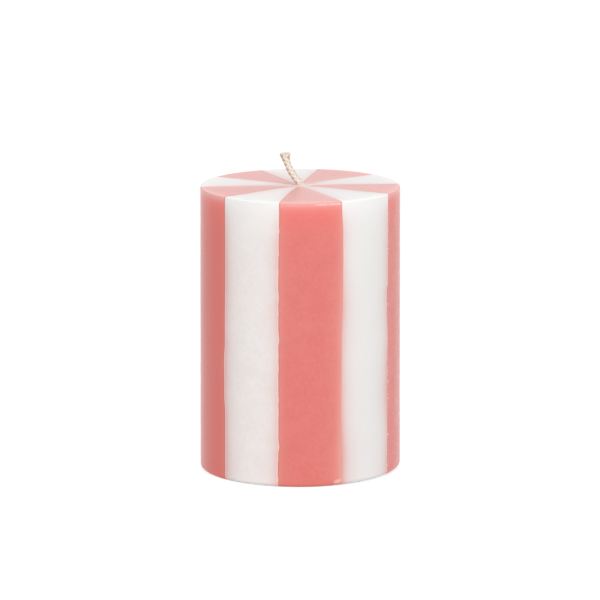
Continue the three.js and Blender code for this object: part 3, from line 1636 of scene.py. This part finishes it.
@dataclass(frozen=True)
class Tinplate:
    """Thin steel sheet with a bright tin coat, pressed to shape.

    It has the cool gloss of tin, dulled in soft patches, over the fine straight grain of its
    rolling. The grain is finer than a pixel, and is drawn 0.12 mm wide to show close by.
    """

    name: str = "tinplate"
    bright_colour: str = "#d3d5d6"
    dull_colour: str = "#b4b6b7"
    grain_width: float = 0.12 * MM
    grain_length: float = 6.0 * MM
    grain_depth: float = 0.02 * MM
    bloom_size: float = 3.0 * MM

    def material(self) -> bpy.types.Material:
        """Makes the finish.

        Returns:
            The material.
        """
        material, tree, output = new_material(self.name)
        place = add_node(tree, "ShaderNodeTexCoord").outputs["Object"]
        scale = (1 / self.grain_length, 1 / self.grain_width, 1 / self.grain_width)
        stretched = add_node(tree, "ShaderNodeMapping", {"Vector": place, "Scale": scale})
        grain = add_node(
            tree,
            "ShaderNodeTexNoise",
            {"Vector": stretched.outputs["Vector"], "Scale": 1.0, "Detail": 2.0},
        )
        bloom = add_node(
            tree,
            "ShaderNodeTexNoise",
            {"Vector": place, "Scale": 1 / self.bloom_size, "Detail": 2.0},
        )
        share = add_node(
            tree,
            "ShaderNodeMapRange",
            {"Value": bloom.outputs["Fac"], "From Min": 0.35, "From Max": 0.65},
        )
        colour = add_node(
            tree,
            "ShaderNodeMix",
            {
                "Factor": share.outputs["Result"],
                "A": linear(self.bright_colour),
                "B": linear(self.dull_colour),
            },
            data_type="RGBA",
        )
        roughness = add_node(
            tree,
            "ShaderNodeMapRange",
            {
                "Value": grain.outputs["Fac"],
                "From Min": 0.3,
                "From Max": 0.7,
                "To Min": 0.24,
                "To Max": 0.42,
            },
        )
        bump = add_node(
            tree,
            "ShaderNodeBump",
            {"Strength": 0.25, "Distance": self.grain_depth, "Height": grain.outputs["Fac"]},
        )
        shader = add_node(
            tree,
            "ShaderNodeBsdfPrincipled",
            {
                "Base Color": colour.outputs["Result"],
                "Metallic": 1.0,
                "Roughness": roughness.outputs["Result"],
                "Normal": bump.outputs["Normal"],
            },
        )
        tree.links.new(shader.outputs["BSDF"], output.inputs["Surface"])
        return material


@dataclass
class WickSustainer:
    """One pressed disc with a turned-down rim, a stiffening ring and a neck crimped on the wick."""

    fit: WickFit
    name: str = "pressed_sustainer"
    ring_radius: float = 6.2 * MM
    ring_width: float = 1.6 * MM
    ring_drop: float = 0.16 * MM
    rim_drop: float = 0.3 * MM
    clearance: float = 0.02 * MM
    bend_radius: float = 0.3 * MM
    neck_cuts: int = 14
    steps: int = 96

    def build(self, material: bpy.types.Material) -> bpy.types.Object:
        """Presses the sheet: spins its middle line, crimps the neck and thickens it.

        Args:
            material: The sheet's finish.

        Returns:
            The piece.
        """
        sheet, neck_radius = self.fit.sheet, self.fit.neck_radius
        neck_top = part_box("wick_sustainer")[1].z - sheet / 2
        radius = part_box("wick_sustainer")[1].x - sheet / 2
        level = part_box("bore_wax")[0].z - sheet / 2 - self.clearance
        half_ring = self.ring_width / 2
        middle_line = [
            (neck_radius, neck_top),
            (neck_radius, level),
            (self.ring_radius - half_ring, level),
            (self.ring_radius, level - self.ring_drop),
            (self.ring_radius + half_ring, level),
            (radius, level),
            (radius, level - self.rim_drop - sheet / 2 + self.clearance),
        ]
        bm = bmesh.new()
        corners = [bm.verts.new((0.0, -away, height)) for away, height in middle_line]
        for pair in zip(corners, corners[1:]):
            bm.edges.new(pair)
        bmesh.ops.bevel(
            bm,
            geom=corners[1:-1],
            offset=self.bend_radius,
            offset_type="OFFSET",
            segments=4,
            profile=0.5,
            affect="VERTICES",
            material=-1,
        )
        neck = [e for e in bm.edges if abs(e.verts[0].co.z - e.verts[1].co.z) > 2 * MM]
        bmesh.ops.subdivide_edges(bm, edges=neck, cuts=self.neck_cuts)
        spin_round(bm, math.tau, self.steps, merge=True)
        bmesh.ops.remove_doubles(bm, verts=bm.verts, dist=WELD)
        for vert in bm.verts:
            if vert.co.z > level + self.bend_radius:
                pinch = self.fit.pinch(vert.co.z, math.atan2(vert.co.y, vert.co.x))
                vert.co.xy *= 1 - pinch / neck_radius
        bmesh.ops.recalc_face_normals(bm, faces=bm.faces)
        bmesh.ops.solidify(bm, geom=bm.faces, thickness=sheet)
        bmesh.ops.recalc_face_normals(bm, faces=bm.faces)
        return finished_object(self.name, bm, material)


@dataclass
class Studio:
    """The pale floor, the soft light and the camera.

    The middle of the candle's axis shows at the pixel middle_x, middle_y, and focal_pixels is the
    focal length in pixels. Lamp power is in watts.
    """

    camera_distance: float = 1988.6 * MM
    azimuth: float = math.radians(-6.4)
    elevation: float = math.radians(11.29)
    sensor: float = 36.0
    focal_pixels: float = 5688.0
    image_size: float = 600.0
    middle_x: float = 300.17
    middle_y: float = 326.17
    ambient: float = 0.57
    lamp_power: float = 37.2
    lamp_size: float = 1.8
    lamp_distance: float = 2.6
    lamp_azimuth: float = math.radians(5.0)
    lamp_elevation: float = math.radians(46.0)
    floor_shade: float = 0.84
    floor_reach: float = 3.0
    shown_shade: float = 0.35
    shown_glow: float = 0.80

    @staticmethod
    def seen(tree: bpy.types.NodeTree) -> bpy.types.NodeSocket:
        """Finds the rays that show a surface, to the camera or through gloss and glass.

        Args:
            tree: The node tree to add to.

        Returns:
            The socket that gives 1 for these rays and 0 for those that only light the object.
        """
        path = add_node(tree, "ShaderNodeLightPath")
        share = path.outputs["Is Camera Ray"]
        for other in (path.outputs["Is Glossy Ray"], path.outputs["Is Transmission Ray"]):
            share = add_node(tree, "ShaderNodeMath", {0: share, 1: other}, operation="MAXIMUM").outputs[0]
        return share

    @staticmethod
    def towards(azimuth: float, elevation: float) -> Vector:
        """The direction at this azimuth from -Y, towards +X, and this elevation."""
        level = math.cos(elevation)
        return Vector((math.sin(azimuth) * level, -math.cos(azimuth) * level, math.sin(elevation)))

    def set_view(self) -> None:
        """Shows colours as they are written."""
        bpy.context.scene.view_settings.view_transform = "Standard"

    def build_camera(self, body: WaxBody) -> None:
        """Sets the camera so that the middle of the candle's axis shows at its place in the image.

        Args:
            body: The candle's body.
        """
        back = self.towards(self.azimuth, self.elevation)
        right = Vector((math.cos(self.azimuth), math.sin(self.azimuth), 0.0))
        up = back.cross(right)
        middle = Vector((0.0, 0.0, body.height / 2))
        per_pixel = self.camera_distance / self.focal_pixels
        centre = self.image_size / 2
        aim = middle + right * (centre - self.middle_x) * per_pixel
        aim -= up * (centre - self.middle_y) * per_pixel
        data = bpy.data.cameras.new("camera")
        data.sensor_width = self.sensor
        data.lens = self.focal_pixels * self.sensor / self.image_size
        camera = bpy.data.objects.new("camera", data)
        camera.location = middle + back * self.camera_distance
        camera.rotation_euler = (camera.location - aim).to_track_quat("Z", "Y").to_euler()
        bpy.context.scene.collection.objects.link(camera)
        bpy.context.scene.camera = camera

    def build_world(self) -> None:
        """Surrounds the candle with soft white light, and shows plain white to the camera."""
        world = bpy.data.worlds.new("studio")
        world.use_nodes = True
        tree = world.node_tree
        tree.nodes.clear()
        strength = add_node(
            tree,
            "ShaderNodeMix",
            {"Factor": self.seen(tree), "A": self.ambient, "B": 1.0},
            data_type="FLOAT",
        )
        background = add_node(
            tree,
            "ShaderNodeBackground",
            {"Color": (1.0, 1.0, 1.0, 1.0), "Strength": strength.outputs["Result"]},
        )
        output = add_node(tree, "ShaderNodeOutputWorld")
        tree.links.new(background.outputs[0], output.inputs["Surface"])
        bpy.context.scene.world = world

    def build_lamp(self, body: WaxBody) -> None:
        """Hangs a square softbox in front of the candle, high up.

        Args:
            body: The candle's body.
        """
        middle = Vector((0.0, 0.0, body.height / 2))
        away = self.towards(self.lamp_azimuth, self.lamp_elevation)
        data = bpy.data.lights.new("softbox", "AREA")
        data.shape = "SQUARE"
        data.size = self.lamp_size
        data.energy = self.lamp_power
        lamp = bpy.data.objects.new("softbox", data)
        lamp.location = middle + away * self.lamp_distance
        lamp.rotation_euler = away.to_track_quat("Z", "Y").to_euler()
        bpy.context.scene.collection.objects.link(lamp)

    def floor_material(self) -> bpy.types.Material:
        """Makes a pale paper sweep: white to the camera, but for the candle's faint shadow.

        Returns:
            The material.
        """
        material, tree, output = new_material("paper_sweep")
        pale, shown = self.floor_shade, self.shown_shade
        paper = add_node(tree, "ShaderNodeBsdfDiffuse", {"Color": (pale, pale, pale, 1.0)})
        shade = add_node(tree, "ShaderNodeBsdfDiffuse", {"Color": (shown, shown, shown, 1.0)})
        glow = add_node(tree, "ShaderNodeEmission", {"Strength": self.shown_glow})
        sweep = add_node(tree, "ShaderNodeAddShader", {0: shade.outputs[0], 1: glow.outputs[0]})
        mixed = add_node(
            tree,
            "ShaderNodeMixShader",
            {0: self.seen(tree), 1: paper.outputs[0], 2: sweep.outputs[0]},
        )
        tree.links.new(mixed.outputs[0], output.inputs["Surface"])
        return material

    def build_floor(self) -> None:
        """Lays the sweep that the candle stands on."""
        bm = bmesh.new()
        bmesh.ops.create_grid(bm, x_segments=8, y_segments=8, size=self.floor_reach)
        finished_object("floor", bm, self.floor_material())

    def build(self, body: WaxBody) -> None:
        """Sets up the whole studio round the candle.

        Args:
            body: The candle's body.
        """
        self.set_view()
        self.build_camera(body)
        self.build_world()
        self.build_lamp(body)
        self.build_floor()


@dataclass
class StripedCandle:
    """The whole candle: its wedges, the wax round the wick, the wick and the sustainer."""

    body: WaxBody = field(default_factory=WaxBody)
    seams: tuple[Seam, ...] = (
        Seam(
            number=0,
            join=Join.RAGGED,
            inner=-0.9 * MM,
            course=(
                (4 * MM, -0.75 * MM),
                (14 * MM, -0.52 * MM),
                (72 * MM, -0.54 * MM),
                (98 * MM, -0.25 * MM),
            ),
        ),
        Seam(
            number=1,
            join=Join.SOFT,
            inner=0.1 * MM,
            course=(
                (12 * MM, -0.20 * MM),
                (25 * MM, -0.28 * MM),
                (52 * MM, -0.10 * MM),
                (66 * MM, 0.42 * MM),
                (88 * MM, 0.46 * MM),
                (98 * MM, 0.0),
            ),
            lower_bleed=0.5,
        ),
        Seam(
            number=2,
            join=Join.SPECKLED,
            inner=0.9 * MM,
            course=(
                (40 * MM, -0.20 * MM),
                (50 * MM, 0.15 * MM),
                (60 * MM, -0.45 * MM),
                (66 * MM, -0.45 * MM),
                (69 * MM, 0.22 * MM),
                (98 * MM, 0.30 * MM),
            ),
        ),
        Seam(
            number=3,
            join=Join.CLEAN,
            inner=0.9 * MM,
            course=((0.0, -0.1 * MM), (100 * MM, -0.4 * MM)),
        ),
        Seam(
            number=4,
            join=Join.SOFT,
            inner=1.2 * MM,
            course=((0.0, 0.3 * MM), (100 * MM, -0.4 * MM)),
        ),
        Seam(
            number=5,
            join=Join.RAGGED,
            inner=0.6 * MM,
            course=((0.0, 0.2 * MM), (100 * MM, 0.7 * MM)),
        ),
        Seam(
            number=6,
            join=Join.CLEAN,
            inner=-0.3 * MM,
            course=((0.0, 0.3 * MM), (100 * MM, -0.4 * MM)),
        ),
        Seam(
            number=7,
            join=Join.SPECKLED,
            inner=-1.1 * MM,
            course=((0.0, -0.6 * MM), (100 * MM, -1.3 * MM)),
        ),
        Seam(
            number=8,
            join=Join.SOFT,
            inner=-1.0 * MM,
            course=((0.0, -0.8 * MM), (100 * MM, -1.4 * MM)),
        ),
        Seam(
            number=9,
            join=Join.CLEAN,
            inner=-1.0 * MM,
            course=(
                (24 * MM, -0.34 * MM),
                (30 * MM, -0.72 * MM),
                (42 * MM, -0.92 * MM),
                (49 * MM, -0.42 * MM),
                (84 * MM, -0.20 * MM),
                (98 * MM, -0.34 * MM),
            ),
        ),
    )
    coral: CastWax = CastWax(
        name="coral_paraffin",
        body_colour="#e3827b",
        cloud_colour="#e98d88",
        strong_colour="#e37a72",
        # The glow, bleed and groove colours below are painted light and shade, and the bloom colour is
        # partly a painted reflection.
        painted_deep_glow="#fd8078",
        painted_rim_glow="#f3afaa",
        painted_wide_bleed="#ea978c",
        painted_close_bleed="#eca69d",
        bloom_and_sheen_colour="#f8e0dc",
        core_colour="#f3cec4",
        painted_groove_colour="#cd6f67",
        pale_colour="#fde2da",
        deep_reach=5.4 * MM,
        rim_reach=1.25 * MM,
        wide_reach=2.4 * MM,
        close_reach=1.0 * MM,
    )
    white: CastWax = CastWax(
        name="white_paraffin",
        body_colour="#f1edea",
        cloud_colour="#f6f4f2",
        strong_colour="#eff0ef",
        # The glow, bleed and groove colours below are painted light and shade, and the bloom colour is
        # partly a painted reflection.
        painted_deep_glow="#fbf9f8",
        painted_rim_glow="#f7f5f3",
        painted_wide_bleed="#e1bdb9",
        painted_close_bleed="#e68078",
        bloom_and_sheen_colour="#fffdfb",
        core_colour="#f3e1d9",
        painted_groove_colour="#fdeee5",
        pale_colour="#fdf1e6",
        deep_reach=6.5 * MM,
        rim_reach=1.25 * MM,
        wide_reach=4.5 * MM,
        close_reach=1.2 * MM,
        scatter=(1.0, 0.9, 0.85),
    )
    dye_strengths: tuple[float, ...] = (0.4, 1.0, 0.0, 0.6, 0.6, 0.3, 0.2, 0.5, 1.0, 0.1)
    # The two scuffs at the top rim are also a painted highlight on the chipped edge.
    scuffs: tuple[Scuff, ...] = (
        Scuff(angle=6.0, height=99.1 * MM, across=5.2 * MM, tall=0.5 * MM, dent=0.07 * MM),
        Scuff(angle=13.6, height=99.1 * MM, across=6.0 * MM, tall=0.5 * MM, dent=0.07 * MM),
        Scuff(angle=15.4, height=1.7 * MM, across=3.6 * MM, tall=2.0 * MM, dent=0.026 * MM, climb=0.7 * MM),
    )

    def build(self) -> Iterator[bpy.types.Object]:
        """Builds the pieces in order and lets each stand for its node.

        Returns:
            Each piece, once it is finished.
        """
        finishes = {Wax.CORAL: self.coral, Wax.WHITE: self.white}
        materials = {wax: finish.material() for wax, finish in finishes.items()}
        waxes = list(Wax)
        for index, seam in enumerate(self.seams):
            wax = waxes[index % 2]
            pair = index // 2 + 1
            wedge = WaxWedge(
                name=f"{wax.value}_wax_{pair}",
                wax=wax,
                finish=finishes[wax],
                body=self.body,
                start=seam,
                end=self.seams[(index + 1) % len(self.seams)],
                dye_strength=self.dye_strengths[index],
                scuffs=self.scuffs if index == 0 else (),
            )
            piece = wedge.build(materials[wax])
            yield hand_over(piece, f"{wax.value}_wedge_{pair}")
        fit = WickFit()
        piece = BoreWax(self.body, fit).build(PouredWax().material())
        yield hand_over(piece, "bore_wax")
        piece = BraidedWick(fit).build(WaxedCotton().material())
        yield hand_over(piece, "wick")
        piece = WickSustainer(fit).build(Tinplate().material())
        yield hand_over(piece, "wick_sustainer")


def main() -> None:
    """Builds the candle and its studio, and reports each piece."""
    logging.basicConfig(level=logging.INFO, format="%(message)s")
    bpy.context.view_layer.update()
    candle = StripedCandle()
    for piece in candle.build():
        LOG.info("%s: %d faces", piece.name, len(piece.data.polygons))
    Studio().build(candle.body)


if __name__ == "__main__":
    main()
